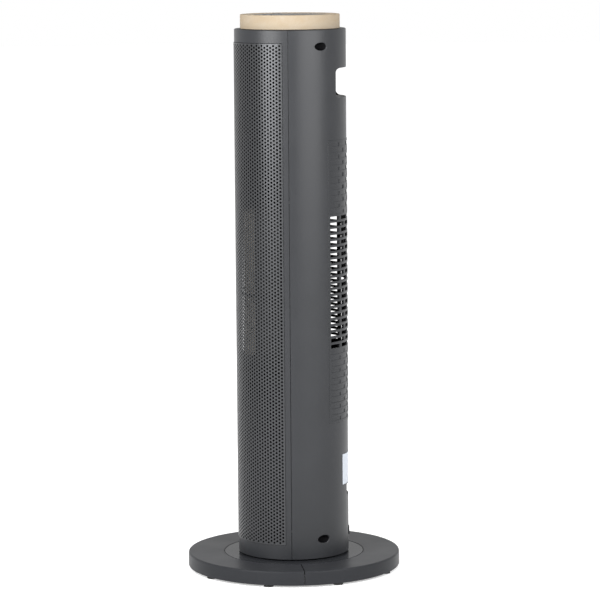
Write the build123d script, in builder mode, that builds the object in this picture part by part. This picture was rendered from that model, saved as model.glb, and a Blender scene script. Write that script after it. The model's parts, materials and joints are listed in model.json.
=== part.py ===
from build123d import *

import os
from math import acos, ceil, cos, degrees, floor, pi, radians, sin, sqrt, tan

os.makedirs("parts", exist_ok=True)

# Lengths are millimetres and angles are degrees.
# The tower stands on the origin, with its grille towards -Y and its hand grip towards +Y.
# Screws and other small round pieces have few sides, which keeps the meshes light.

# General clearances
fit_gap = 0.3  # between mouldings that meet
seat_gap = 0.1  # under a piece that rests on another
press_gap = 0.02  # radial, for what is pressed on a shaft
running_gap = 0.06  # radial, shaft in its bearing
small_sides = 12
round_sides = 24  # larger round pieces that nothing fits round
screw_sides = 6
screw_head_ratio = 1.9
screw_head_height = 1.0

# Foot
foot_radius = 120.0
foot_rim_height = 16.2
foot_skin = 2.4
foot_edge = 1.1
foot_dish = 0.7  # fall of the top from rim to centre
foot_turn = 6.3  # the photographed swing of the foot away from the tower
foot_ledge = 8.8
foot_screw_radius = 1.5
foot_screw_offset = 45.0  # from the middle of each half
pad_radius = 5.5
pad_height = 2.4
pad_circle = 113.0
pad_angles = (20.0, 60.0, 120.0, 160.0)  # from the seam, on each half

# Pivot plate and glide pads
plate_radius = 78.8
plate_thickness = 3.0
plate_drop = 0.9  # plate top below the rim of the foot
stub_radius = 14.0
stub_bore = 9.0
stub_height = 12.4
glide_radius = 46.5
glide_width = 5.0
glide_length = 12.0
glide_count = 6

# Tower housing
tower_radius = 62.5
tower_gap = 1.5  # between plate and tower
housing_height = 591.8
shell_wall = 2.4
shell_turn = 1.4  # how far the shell seam lies in front of the middle
shell_edge = 0.7
top_flange_radius = 46.0
floor_plate = 2.4
floor_screw_radius = 1.5
floor_screw_length = 9.0
floor_screw_angles = (-125.0, -55.0, 35.0, 145.0)
floor_boss = 3.6
floor_boss_height = 10.0
bearing_wall = 5.0

# Grille
grille_half_angle = 82.5
grille_lower_edge = 16.6  # above the housing's lower edge
grille_upper_edge = 14.7  # below the housing's upper edge
grille_sheet = 0.8
grille_proud = 0.7
grille_lap = 4.0
grid_columns = 6  # plain openings, which stand for the fine holes
grid_rows = 6
grid_bar = 16.0
rib_width = 2.6
rib_count = 1  # upright, behind the middle bar of the grille
hoop_count = 1
hoop_height = 2.6
blank_wall = 2.0  # closes the front above and below the blower
blank_lap = 0.6  # radial, into the shell's own wall

# Slotted intake at the back
slot_half_angle = 45.8
slot_rows = 46
slot_pitch = 6.84
slot_height = 4.2
slot_middle = 310.3  # above the housing's lower edge
open_rows = 22
joint_pitch = 19.4
joint_angle = 3.2
pad_proud = 0.5

# Hand grip
grip_middle = 532.1  # above the housing's lower edge
grip_height = 32.7
grip_floor = 50.9  # from the tower's axis
grip_corner = 5.0
cup_half_width = 33.0
cup_floor = 36.0
cup_wall = 2.0
cup_headroom = 15.0

# Screw wells in the rear shell
well_side = 51.5
well_low = 21.6  # above the housing's lower edge
well_high = 573.2
well_radius = 4.5
well_floor = 25.5  # from the tower's axis
well_wall = 1.9
well_front = 11.0  # depth of the front shell's pillar behind the seam
shell_screw_radius = 1.75
shell_screw_length = 34.0

# Label and main switch at the back
label_half_angle = 26.8
label_low = 78.6  # above the housing's lower edge
label_height = 34.9
label_depth = 0.3
switch_low = 64.9
switch_high = 76.8
switch_flat_depth = 1.85
switch_seat_depth = 5.6
switch_side = 11.0
bezel_width = 15.0
bezel_height = 10.5
bezel_flange = 1.5
bezel_depth = 15.0
bezel_body_width = 13.0
bezel_body_height = 8.9
rocker_width = 10.4
rocker_height = 6.4
rocker_rise = 3.0
rocker_hollow = 1.1
rocker_depth = 4.5
rocker_throw = 8.0  # each way from level
rocker_pin = 0.8
rocker_pin_end = 0.6  # beyond the rocker, at both ends
rocker_sink = 0.2  # of the pin behind the bezel's seat
blade_reach = 7.0
blade_width = 4.8
blade_sheet = 0.8

# Mains inlet
inlet_middle = 21.6
inlet_bore = 3.3
inlet_body = 8.4
inlet_depth = 9.0
inlet_flange = 5.5
inlet_proud = 0.8

# Top: wooden ring and controls
wood_radius = 55.7
wood_height = 15.8
wood_bore = 43.4
wood_edge = 0.9
wood_screw_circle = 50.0
wood_screw_radius = 1.5
wood_screw_angles = (90.0, 210.0, 330.0)
tray_radius = 54.0
tray_thickness = 2.0
panel_thickness = 2.0
panel_drop = 0.7  # below the top of the wood
panel_post_side = 39.0
panel_post_front = 37.0
post_width = 5.0
key_width = 9.0
key_depth = 7.5
key_corner = 1.5
key_gap = 0.25
key_circle = 27.0
key_step = 30.0
key_proud = 0.6
key_travel = 0.8
key_flange = 1.1
key_stem = 3.0
key_switch_width = 6.0
key_switch_height = 5.0
plunger_height = 1.6
window_width = 28.0
window_depth = 13.0
window_reach = 14.0
window_border = 1.5
display_height = 7.5
board_thickness = 1.6
board_width = 66.0
board_depth = 48.0
board_shift = 4.0  # towards the keys
board_post_inset = 4.0

# Cross-flow blower
rotor_radius = 30.0
rotor_low = 230.8  # above the housing's lower edge
rotor_length = 158.0
rotor_disc = 2.0
rotor_hub = 8.0
rotor_offset = 6.0  # from the tower's axis towards the back
rotor_gap = 4.0  # above and below the impeller
blade_count = 18
blade_length = 7.0
blade_thickness = 1.4
blade_lean = 11.0
rotor_shaft = 2.5
deck_thickness = 2.4
deck_tab = 5.0
deck_tab_angles = (12.0, 38.0, 142.0, 168.0)
scroll_wall = 2.0
scroll_start = 140.0
scroll_end = 225.0
scroll_near = 3.0
scroll_far = 14.0
tongue_angle = -20.0
tongue_sweep = 28.0
tongue_gap = 2.5
duct_tie = 4.0
bush_half = 6.0
bush_flange = 2.5
bush_lift = 2.0

# Fan motor: laminated core, coil and bracket
motor_length = 36.0
core_half_width = 26.0
core_half_depth = 22.0
core_low = 8.0
core_high = 26.0
coil_half_width = 12.0
coil_depth = 10.0
coil_lap = 4.0
motor_hub = 7.0
motor_ear = 31.0
motor_ear_width = 9.0
motor_ear_thickness = 2.0
motor_screw = 1.5
motor_screw_bite = 1.7  # into the blower's floor

# Heater
heater_width = 48.0
heater_depth = 12.0
heater_clearance = 1.9  # between the heater's front corners and the shell
heater_wall = 2.0
bar_width = 4.0
bar_count = 3
fin_pitch = 12.0
fin_thickness = 0.8
fin_inset = 1.0
cutout_radius = 6.0
cutout_height = 4.0

# Swing drive
gear_module = 1.0
sector_teeth = 60  # on the full circle
pinion_teeth = 15
pressure_angle = 20.0
tooth_root = 1.25  # below the pitch circle, in modules
tooth_tip = 0.95  # above it
gear_width = 6.0
gear_backlash = 0.25
gear_spread = 0.1  # added to the distance between the gears
sector_hub = 17.0  # wide enough to hold the tower down
swing_half = 35.0
swing_margin = 7.0
sector_screw_radius = 1.2
sector_screw_depth = 6.0
sector_screw_count = 2
swing_motor_radius = 12.5
swing_motor_height = 19.0
swing_motor_lift = 3.0
swing_shaft_radius = 2.5
swing_shaft_length = 8.0
swing_shaft_offset = 7.0
swing_ear = 17.5
swing_ear_width = 7.0
swing_ear_thickness = 1.0
swing_post = 5.8
swing_screw = 1.2
swing_screw_length = 7.0

# Power electronics
carrier_width = 78.0
carrier_height = 150.0
carrier_wall = 2.0
carrier_place = 33.0  # from the tower's axis towards the back
carrier_foot = 8.0
carrier_foot_inset = 10.0
carrier_post_inset = 5.0
power_lift = 12.0  # above the gears
power_post_height = 8.0
power_parts = (  # middle across, middle up, width, height, depth
    (-22.0, 30.0, 19.0, 16.0, 15.5),
    (2.0, 30.0, 19.0, 16.0, 15.5),
    (-20.0, 62.0, 12.0, 18.0, 12.0),
    (22.0, 62.0, 15.0, 13.0, 8.5),
    (0.0, 82.0, 26.0, 10.0, 7.0),
)
terminal_side = (6.0, 36.0)
terminal_depth = 11.0
terminal_height = 12.0
terminal_count = 3
terminal_hole = 4.6
tilt_side = (-34.0, -22.0)
tilt_depth = 9.0
tilt_height = 9.0

# Levels worked out from the sizes above
foot_bottom = pad_height
foot_top = foot_bottom + foot_rim_height
plate_top = foot_top - plate_drop
plate_bottom = plate_top - plate_thickness
tower_bottom = plate_top + tower_gap
tower_top = tower_bottom + housing_height
floor_top = tower_bottom + floor_plate
shell_inner = tower_radius - shell_wall
shell_middle = tower_radius - shell_wall / 2
shell_outside = tower_radius + 10.0  # any reach that clears the housing
switch_flat = tower_radius - switch_flat_depth
switch_seat = tower_radius - switch_seat_depth
heater_front = sqrt((shell_inner - heater_clearance) ** 2 - (heater_width / 2) ** 2)
deck_radius = shell_inner - fit_gap
deck_high = tower_bottom + rotor_low - rotor_gap
deck_low = deck_high - deck_thickness
roof_low = tower_bottom + rotor_low + rotor_length + rotor_gap
roof_high = roof_low + deck_thickness
seam_angle = degrees(fit_gap / tower_radius)
front_half = 90 - shell_turn - seam_angle / 2
rear_half = 90 + shell_turn - seam_angle / 2


def around(radius, angle):
    """Point at an angle round the tower's axis."""
    return (radius * cos(radians(angle)), radius * sin(radians(angle)))


def upright(angle):
    """Vertical plane through the tower's axis: x runs outwards at the angle and y runs up."""
    out = around(1, angle)
    return Plane(origin=(0, 0, 0), x_dir=(*out, 0), z_dir=(out[1], -out[0], 0))


def ring_part(inner, outer, middle, half):
    """Flat part of a ring that reaches half degrees to each side of its middle."""
    with BuildSketch(mode=Mode.PRIVATE) as shape:
        with BuildLine():
            far = CenterArc((0, 0), outer, middle - half, 2 * half)
            near = CenterArc((0, 0), inner, middle - half, 2 * half)
            Line(far @ 0, near @ 0)
            Line(far @ 1, near @ 1)
        make_face()
    return shape.sketch


def slab(x, y, z, mode=Mode.ADD):
    """Box between two values each way."""
    low, high = (x[0], y[0], z[0]), (x[1], y[1], z[1])
    middle = tuple((a + b) / 2 for a, b in zip(low, high))
    with Locations(middle):
        Box(*[b - a for a, b in zip(low, high)], mode=mode)


def rod(radius, low, high, place=(0, 0), mode=Mode.ADD):
    """Upright cylinder between two levels."""
    with Locations((*place, (low + high) / 2)):
        Cylinder(radius, high - low, mode=mode)


def pegs(plane, places, radius, length, sides=screw_sides, mode=Mode.ADD):
    """Prisms of few sides that stand on places of a plane, along its normal."""
    with BuildSketch(plane, mode=Mode.PRIVATE) as outline:
        with Locations(*places):
            RegularPolygon(radius, sides)
    extrude(outline.sketch, amount=length, mode=mode)


def screw_set(seat, places, radius, length):
    """Screws whose heads sit on a plane; a negative length hangs the shank under the head."""
    head = -screw_head_height if length > 0 else screw_head_height
    with BuildPart() as screws:
        pegs(seat, places, radius * screw_head_ratio, head)
        pegs(seat, places, radius, length)
    return screws


def radial_boxes(radius, angles, length, width, low, high):
    """Boxes whose length runs outwards, centred on a radius at the given angles."""
    with BuildPart(mode=Mode.PRIVATE) as boxes:
        with BuildSketch(Plane.XY.offset(low)):
            with Locations(*[Location((*around(radius, angle), 0), angle) for angle in angles]):
                Rectangle(length, width)
        extrude(amount=high - low)
    return boxes.part


def save(piece, name):
    """Label a finished piece and write it under its name."""
    piece.part.label = name
    export_step(piece.part, f"parts/{name}.step")


# Foot: two half rings that close round the plate
foot_ring_inner = plate_radius + fit_gap
foot_ring_top = foot_top - foot_dish
foot_ledge_top = plate_bottom - seat_gap
foot_ledge_bottom = foot_ledge_top - foot_skin
foot_ledge_edge = foot_ring_inner - foot_ledge
foot_underside = foot_ring_top - foot_skin
foot_block_top = foot_ring_top - foot_skin / 2
foot_block = (foot_ring_inner + foot_skin / 2, foot_radius - foot_skin / 2)
foot_screw_circle = foot_ring_inner - foot_ledge / 2
foot_screw_top = plate_top - plate_thickness / 3
foot_screw_angles = [foot_turn + 90 * side + foot_screw_offset for side in range(4)]
foot_screw_places = [around(foot_screw_circle, angle) for angle in foot_screw_angles]
foot_screw_seat = Plane.XY.offset(foot_ledge_bottom - seat_gap)


def foot_half(middle):
    """Half of the foot ring: revolved shell with the ledge under the plate, and a block over each pad."""
    with BuildPart() as half:
        with BuildSketch(upright(middle - 90)):
            with BuildLine():
                Polyline(
                    (foot_ring_inner, foot_ring_top),
                    (foot_radius, foot_top),
                    (foot_radius, foot_bottom),
                    (foot_radius - foot_skin, foot_bottom),
                    (foot_radius - foot_skin, foot_underside),
                    (foot_ring_inner + foot_skin, foot_underside),
                    (foot_ring_inner + foot_skin, foot_ledge_bottom),
                    (foot_ledge_edge, foot_ledge_bottom),
                    (foot_ledge_edge, foot_ledge_top),
                    (foot_ring_inner, foot_ledge_top),
                    close=True,
                )
            make_face()
            chamfer(vertices().group_by(Axis.X)[-1].sort_by(Axis.Y)[-1], foot_edge)
        revolve(axis=Axis.Z, revolution_arc=180)
        angles = [middle - 90 + angle for angle in pad_angles]
        block_length = foot_block[1] - foot_block[0]
        block_middle = sum(foot_block) / 2
        add(radial_boxes(block_middle, angles, block_length, 2 * pad_radius, foot_bottom, foot_block_top))
        holes = foot_screw_radius + fit_gap
        pegs(Plane.XY.offset(foot_ledge_bottom), foot_screw_places, holes, foot_skin, mode=Mode.SUBTRACT)
        with BuildSketch(Plane.XY.rotated((0, 0, foot_turn))):
            Rectangle(2 * foot_radius + fit_gap, fit_gap)
        extrude(amount=foot_top + fit_gap, mode=Mode.SUBTRACT)
    return half


base_front_half = foot_half(foot_turn - 90)
save(base_front_half, "base_front_half")
base_rear_half = foot_half(foot_turn + 90)
save(base_rear_half, "base_rear_half")

with BuildPart() as base_feet:
    pads = [around(pad_circle, foot_turn + side + angle) for side in (0, 180) for angle in pad_angles]
    pegs(Plane.XY, pads, pad_radius, pad_height - seat_gap / 2, small_sides)
save(base_feet, "base_feet")

# Pivot plate with its hollow stub, the pads that it carries, and the screws from below
stub_top = plate_top + stub_height
sector_screw_circle = (stub_radius + stub_bore) / 2
sector_screw_angles = [foot_turn + i * 360 / sector_screw_count for i in range(sector_screw_count)]
sector_screw_places = [around(sector_screw_circle, angle) for angle in sector_screw_angles]

with BuildPart() as pivot_plate:
    with BuildSketch(Plane.XZ):
        with BuildLine():
            Polyline(
                (0, plate_bottom),
                (plate_radius, plate_bottom),
                (plate_radius, plate_top),
                (stub_radius, plate_top),
                (stub_radius, stub_top),
                (0, stub_top),
                close=True,
            )
        make_face()
    revolve(axis=Axis.Z)
    plate_face = Plane.XY.offset(plate_bottom)
    pegs(plate_face, [(0, 0)], stub_bore, stub_top - plate_bottom, small_sides, Mode.SUBTRACT)
    depth = foot_screw_top + seat_gap - plate_bottom
    bore = foot_screw_radius + seat_gap / 2
    pegs(plate_face, foot_screw_places, bore, depth, mode=Mode.SUBTRACT)
    depth = sector_screw_depth + seat_gap
    bore = sector_screw_radius + seat_gap / 2
    pegs(Plane.XY.offset(stub_top), sector_screw_places, bore, -depth, mode=Mode.SUBTRACT)
save(pivot_plate, "pivot_plate")

with BuildPart() as glide_pads:
    angles = [foot_turn + i * 360 / glide_count for i in range(glide_count)]
    low, high = plate_top + seat_gap, tower_bottom - seat_gap
    add(radial_boxes(glide_radius, angles, glide_width, glide_length, low, high))
save(glide_pads, "glide_pads")

foot_screw_length = foot_screw_top - foot_ledge_bottom + seat_gap
base_screws = screw_set(foot_screw_seat, foot_screw_places, foot_screw_radius, foot_screw_length)
save(base_screws, "base_screws")

# Swing drive: a toothed sector fixed on the stub and the pinion that walks round it
sector_pitch = gear_module * sector_teeth / 2
pinion_pitch = gear_module * pinion_teeth / 2
gear_distance = sector_pitch + pinion_pitch + gear_spread
gear_low = stub_top + seat_gap
gear_high = gear_low + gear_width
sector_step = 360 / sector_teeth
sector_reach = ceil((swing_half + swing_margin) / sector_step)
pinion_place = (0, -gear_distance)
sector_head_seat = gear_high + seat_gap


def involute(angle):
    """Involute function of a pressure angle in degrees."""
    return tan(radians(angle)) - radians(angle)


def tooth_points(teeth, angle):
    """Corners of one tooth that points at an angle: up its right flank and down its left."""
    pitch = gear_module * teeth / 2
    base = pitch * cos(radians(pressure_angle))
    half_at_pitch = pi / (2 * teeth) - gear_backlash / (2 * pitch)
    right, left = [], []
    for radius in (pitch - tooth_root * gear_module, pitch, pitch + tooth_tip * gear_module):
        slope = degrees(acos(base / radius)) if radius > base else 0
        half = degrees(half_at_pitch + involute(pressure_angle) - involute(slope))
        right.append(around(radius, angle - half))
        left.append(around(radius, angle + half))
    return right + left[::-1]


with BuildPart() as swing_sector:
    with BuildSketch(Plane.XY.offset(gear_low)):
        outline = [(0, 0)]
        for i in range(-sector_reach, sector_reach + 1):
            outline.extend(tooth_points(sector_teeth, foot_turn - 90 + i * sector_step))
        Polygon(*outline, align=None)
        RegularPolygon(sector_hub, small_sides)
        RegularPolygon(stub_bore, small_sides, mode=Mode.SUBTRACT)
    extrude(amount=gear_width)
    bore = sector_screw_radius + seat_gap
    pegs(Plane.XY.offset(gear_low), sector_screw_places, bore, gear_width, mode=Mode.SUBTRACT)
save(swing_sector, "swing_sector")

sector_screw_length = gear_width + seat_gap + sector_screw_depth
sector_seat = Plane.XY.offset(sector_head_seat)
sector_screws = screw_set(sector_seat, sector_screw_places, sector_screw_radius, -sector_screw_length)
save(sector_screws, "sector_screws")

# The tooth of the sector nearest the pinion lies this far from the line of centres
sector_phase = foot_turn - sector_step * floor(foot_turn / sector_step + 0.5)
pinion_turn = 90 - sector_phase * sector_teeth / pinion_teeth + 180 / pinion_teeth
swing_motor_low = gear_high + swing_motor_lift
swing_shaft_high = swing_motor_low + swing_shaft_length
swing_motor_place = (0, -gear_distance - swing_shaft_offset)
swing_posts = [(side * swing_ear, swing_motor_place[1]) for side in (-1, 1)]

with BuildPart() as swing_pinion:
    with BuildSketch(Plane.XY.offset(gear_low)):
        outline = []
        for i in range(pinion_teeth):
            outline.extend(tooth_points(pinion_teeth, pinion_turn + i * 360 / pinion_teeth))
        with Locations(pinion_place):
            Polygon(*outline, align=None)
    extrude(amount=gear_width)
    rod(swing_shaft_radius, gear_low, swing_shaft_high, pinion_place)
save(swing_pinion, "swing_pinion")

with BuildPart() as swing_motor:
    ear_face = Plane.XY.offset(swing_motor_low)
    pegs(ear_face, [swing_motor_place], swing_motor_radius, swing_motor_height, round_sides)
    with BuildSketch(ear_face):
        with Locations(swing_motor_place):
            Rectangle(2 * swing_ear + swing_ear_width, swing_ear_width)
    extrude(amount=swing_ear_thickness)
    pegs(ear_face, swing_posts, swing_screw + fit_gap, swing_ear_thickness, mode=Mode.SUBTRACT)
    bore = swing_shaft_radius + running_gap
    rod(bore, swing_motor_low, swing_shaft_high + fit_gap, pinion_place, mode=Mode.SUBTRACT)
save(swing_motor, "swing_motor")

swing_seat = Plane.XY.offset(swing_motor_low + swing_ear_thickness + seat_gap)
swing_motor_screws = screw_set(swing_seat, swing_posts, swing_screw, -swing_screw_length)
save(swing_motor_screws, "swing_motor_screws")

# Floor of the tower, with the bearing collar that turns on the stub
floor_radius = shell_inner - fit_gap
collar_bore = stub_radius + running_gap
collar_radius = stub_radius + bearing_wall
collar_top = stub_top - fit_gap
floor_screw_circle = floor_radius - floor_boss - shell_wall / 2
floor_screw_places = [around(floor_screw_circle, angle) for angle in floor_screw_angles]
floor_head_top = tower_bottom + screw_head_height
floor_screw_head = floor_screw_radius * screw_head_ratio

with BuildPart() as bottom_plate:
    rod(floor_radius, tower_bottom, floor_top)
    pegs(Plane.XY.offset(floor_top), [(0, 0)], collar_radius, collar_top - floor_top, small_sides)
    rod(collar_bore, tower_bottom, collar_top, mode=Mode.SUBTRACT)
    for x, y in swing_posts:
        across = (x - swing_post / 2, x + swing_post / 2)
        along = (y - swing_post / 2, y + swing_post / 2)
        slab(across, along, (floor_top, swing_motor_low - seat_gap))
    posts_top = Plane.XY.offset(swing_motor_low)
    pegs(posts_top, swing_posts, swing_screw + seat_gap / 2, -swing_screw_length, mode=Mode.SUBTRACT)
    floor_face = Plane.XY.offset(tower_bottom)
    pegs(floor_face, floor_screw_places, floor_screw_radius + fit_gap, floor_plate, mode=Mode.SUBTRACT)
    depth = screw_head_height + seat_gap
    pegs(floor_face, floor_screw_places, floor_screw_head + fit_gap, depth, mode=Mode.SUBTRACT)
save(bottom_plate, "bottom_plate")

floor_head_face = Plane.XY.offset(floor_head_top)
bottom_screws = screw_set(floor_head_face, floor_screw_places, floor_screw_radius, floor_screw_length)
save(bottom_screws, "bottom_screws")

# Housing shells
flange_bottom = tower_top - shell_wall
grille_low = tower_bottom + grille_lower_edge
grille_high = tower_top - grille_upper_edge
grille_outer = tower_radius + grille_proud
grille_inner = grille_outer - grille_sheet
grille_seat = grille_inner - seat_gap
lap_angle = degrees(grille_lap / tower_radius)
window_low = grille_low + grille_lap
window_high = grille_high - grille_lap
window_height = window_high - window_low
window_half = grille_half_angle - lap_angle
blank_outer = shell_inner + blank_lap
blank_levels = (
    (window_low - grille_lap / 2, deck_low - 2 * fit_gap),
    (roof_high + 2 * fit_gap, window_high + grille_lap / 2),
)
well_places = [(side * well_side, tower_bottom + z) for side in (-1, 1) for z in (well_low, well_high)]
well_seam = -well_side * tan(radians(shell_turn))
well_outer = well_radius + well_wall
wood_screw_places = [around(wood_screw_circle, angle) for angle in wood_screw_angles]
floor_boss_low = floor_top + seat_gap


def shell_blank(middle, half, boss_angles):
    """Half of the housing: wall and top flange, with bosses that stand on the floor and take its screws."""
    with BuildPart() as blank:
        with BuildSketch(upright(middle - half)):
            with BuildLine():
                Polyline(
                    (tower_radius, tower_bottom),
                    (tower_radius, tower_top),
                    (top_flange_radius, tower_top),
                    (top_flange_radius, flange_bottom),
                    (shell_inner, flange_bottom),
                    (shell_inner, tower_bottom),
                    close=True,
                )
            make_face()
            chamfer(vertices().group_by(Axis.X)[-1].sort_by(Axis.Y)[-1], shell_edge)
        revolve(axis=Axis.Z, revolution_arc=2 * half)
        bore = wood_screw_radius + fit_gap
        pegs(Plane.XY.offset(flange_bottom), wood_screw_places, bore, shell_wall, mode=Mode.SUBTRACT)
        reach = (floor_screw_circle - floor_boss, shell_middle)
        high = floor_boss_low + floor_boss_height
        middle_radius, length = sum(reach) / 2, reach[1] - reach[0]
        add(radial_boxes(middle_radius, boss_angles, length, 2 * floor_boss, floor_boss_low, high))
        places = [around(floor_screw_circle, angle) for angle in boss_angles]
        bore = floor_screw_radius + seat_gap / 2
        boss_face = Plane.XY.offset(floor_boss_low)
        pegs(boss_face, places, bore, floor_screw_length, mode=Mode.SUBTRACT)
    return blank.part


def pillars(near, far):
    """Pillars for the shell screws between two distances behind the axis, joined to the wall."""
    with BuildPart() as blocks:
        for x, z in well_places:
            across = (x - well_outer, tower_radius) if x > 0 else (-tower_radius, x + well_outer)
            slab(across, (near, far), (z - well_outer, z + well_outer))
        rod(shell_middle, tower_bottom, tower_top, mode=Mode.INTERSECT)
    return blocks.part


with BuildPart() as front_shell:
    add(shell_blank(-90, front_half, floor_screw_angles[:2]))
    with BuildSketch(Plane.XY.offset(grille_low)):
        add(ring_part(grille_seat, shell_outside, -90, grille_half_angle))
    extrude(amount=grille_high - grille_low, mode=Mode.SUBTRACT)
    with BuildSketch(Plane.XY.offset(window_low)):
        add(ring_part(shell_inner / 2, shell_outside, -90, window_half))
    extrude(amount=window_height, mode=Mode.SUBTRACT)
    # closed walls below and above the blower
    for low, high in blank_levels:
        with BuildSketch(Plane.XY.offset(low)):
            add(ring_part(blank_outer - blank_wall, blank_outer, -90, window_half + lap_angle / 2))
        extrude(amount=high - low)
    # ribs and hoop that the grille lies on
    rib_inner, rib_outer = shell_inner + blank_lap / 2, grille_seat - seat_gap
    rib_step = 2 * window_half / (rib_count + 1)
    with BuildSketch(Plane.XY.offset(window_low - grille_lap / 2)):
        for i in range(rib_count):
            angle = -90 - window_half + (i + 1) * rib_step
            add(ring_part(rib_inner, rib_outer, angle, degrees(rib_width / 2 / shell_inner)))
    extrude(amount=window_height + grille_lap)
    hoop_pitch = window_height / (hoop_count + 1)
    hoop_levels = [window_low + (i + 1) * hoop_pitch - hoop_height / 2 for i in range(hoop_count)]
    with BuildSketch(*[Plane.XY.offset(z) for z in hoop_levels]):
        add(ring_part(rib_inner, rib_outer, -90, window_half + lap_angle / 2))
    extrude(amount=hoop_height)
    add(pillars(well_seam - well_front, well_seam - fit_gap / 2))
    seam_face = Plane.XZ.offset(-well_seam)
    pegs(seam_face, well_places, shell_screw_radius + seat_gap / 2, well_front, mode=Mode.SUBTRACT)
save(front_shell, "front_shell")

with BuildPart() as front_grille:
    with BuildSketch(Plane.XY.offset(grille_low + fit_gap)):
        add(ring_part(grille_inner, grille_outer, -90, grille_half_angle - seam_angle))
    extrude(amount=grille_high - grille_low - 2 * fit_gap)
    column, row = 2 * window_half / grid_columns, window_height / grid_rows
    half_opening = column / 2 - degrees(grid_bar / 2 / tower_radius)
    with BuildSketch(*[Plane.XY.offset(window_low + i * row + grid_bar / 2) for i in range(grid_rows)]):
        for i in range(grid_columns):
            angle = -90 - window_half + (i + 0.5) * column
            add(ring_part(shell_inner, shell_outside, angle, half_opening))
    extrude(amount=row - grid_bar, mode=Mode.SUBTRACT)
save(front_grille, "front_grille")

# Slots of the intake, laid like bricks on a slightly raised field; the middle rows are open
slot_low = tower_bottom + slot_middle - slot_rows / 2 * slot_pitch + (slot_pitch - slot_height) / 2
first_open = (slot_rows - open_rows) // 2
slot_reach = shell_inner * cos(radians(slot_half_angle)) - shell_wall
slot_land = slot_pitch - slot_height
field_low = slot_low - slot_land
field_height = slot_rows * slot_pitch + slot_land
field_half_angle = slot_half_angle + degrees(slot_land / tower_radius)
field_radius = tower_radius + pad_proud
joint_patterns = ((-1.5, -0.5, 0.5, 1.5), (-1, 0, 1))


def slot_spans(joints):
    """Angles between which the slots of a row lie, from the middle of the back."""
    starts = [-slot_half_angle] + [j * joint_pitch + joint_angle / 2 for j in joints]
    ends = [j * joint_pitch - joint_angle / 2 for j in joints] + [slot_half_angle]
    return list(zip(starts, ends))


with BuildPart() as open_slots:
    for row in range(first_open, first_open + open_rows):
        joints = joint_patterns[min(row, slot_rows - 1 - row) % 2]
        low = slot_low + row * slot_pitch
        for start, end in slot_spans(joints):
            across = (field_radius * sin(radians(start)), field_radius * sin(radians(end)))
            slab(across, (slot_reach, shell_outside), (low, low + slot_height))

# Levels at the back
grip_z = tower_bottom + grip_middle
label_z = tower_bottom + label_low
switch_z = (tower_bottom + switch_low, tower_bottom + switch_high)
switch_middle = sum(switch_z) / 2
inlet_z = tower_bottom + inlet_middle

with BuildPart() as switch_block:
    across = (-switch_side - shell_wall, switch_side + shell_wall)
    along = (switch_seat - shell_wall, tower_radius)
    slab(across, along, (switch_z[0] - shell_wall, switch_z[1] + shell_wall))
    rod(shell_middle, tower_bottom, tower_top, mode=Mode.INTERSECT)



def grip_notch():
    """Cutter for the hand grip: from the side, a notch with round inner corners."""
    with BuildPart(mode=Mode.PRIVATE) as notch:
        with BuildSketch(Plane.YZ):
            with Locations(((grip_floor + shell_outside) / 2, grip_z)):
                RectangleRounded(shell_outside - grip_floor, grip_height, grip_corner)
        extrude(amount=tower_radius, both=True)
    return notch.part


with BuildPart() as rear_shell:
    add(shell_blank(90, rear_half, floor_screw_angles[2:]))
    with BuildSketch(Plane.XY.offset(field_low)):
        add(ring_part(shell_middle, field_radius, 90, field_half_angle))
    extrude(amount=field_height)
    add(open_slots.part, mode=Mode.SUBTRACT)
    add(grip_notch(), mode=Mode.SUBTRACT)
    # label field
    with BuildSketch(Plane.XY.offset(label_z)):
        add(ring_part(tower_radius - label_depth, shell_outside, 90, label_half_angle))
    extrude(amount=label_height, mode=Mode.SUBTRACT)
    # main switch: a well behind a flat, with the hole for the switch body
    add(switch_block.part)
    slab((-tower_radius / 2, tower_radius / 2), (switch_flat, shell_outside), switch_z, Mode.SUBTRACT)
    slab((-switch_side, switch_side), (switch_seat, shell_outside), switch_z, Mode.SUBTRACT)
    half_width = bezel_body_width / 2 + seat_gap
    half_height = bezel_body_height / 2 + seat_gap
    upwards = (switch_middle - half_height, switch_middle + half_height)
    slab((-half_width, half_width), (switch_seat - 2 * shell_wall, shell_outside), upwards, Mode.SUBTRACT)
    # mains inlet
    half = inlet_body / 2 + seat_gap
    through = (shell_inner - shell_wall, shell_outside)
    slab((-half, half), through, (inlet_z - half, inlet_z + half), Mode.SUBTRACT)
    # screw wells
    add(pillars(well_seam + fit_gap / 2, tower_radius))
    well_face = Plane.XZ.offset(-well_floor)
    reach = well_floor - shell_outside
    pegs(well_face, well_places, well_radius, reach, small_sides, Mode.SUBTRACT)
    reach = well_floor - well_seam
    pegs(well_face, well_places, shell_screw_radius + fit_gap, reach, mode=Mode.SUBTRACT)
    # tabs under the blower's decks
    for level in (deck_low, roof_low):
        tab_radius = shell_middle - deck_tab / 2
        high = level - seat_gap
        add(radial_boxes(tab_radius, deck_tab_angles, deck_tab, deck_tab, high - deck_thickness, high))
save(rear_shell, "rear_shell")

screw_seat = Plane.XZ.offset(-well_floor - seat_gap)
with BuildPart() as shell_screws:
    pegs(screw_seat, well_places, shell_screw_radius * screw_head_ratio, -2 * screw_head_height)
    pegs(screw_seat, well_places, shell_screw_radius, shell_screw_length)
save(shell_screws, "shell_screws")

# Cup behind the hand grip, with headroom for the fingers
cup_low = grip_z - grip_height / 2 - cup_wall
cup_high = grip_z + grip_height / 2 + cup_headroom + cup_wall

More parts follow.
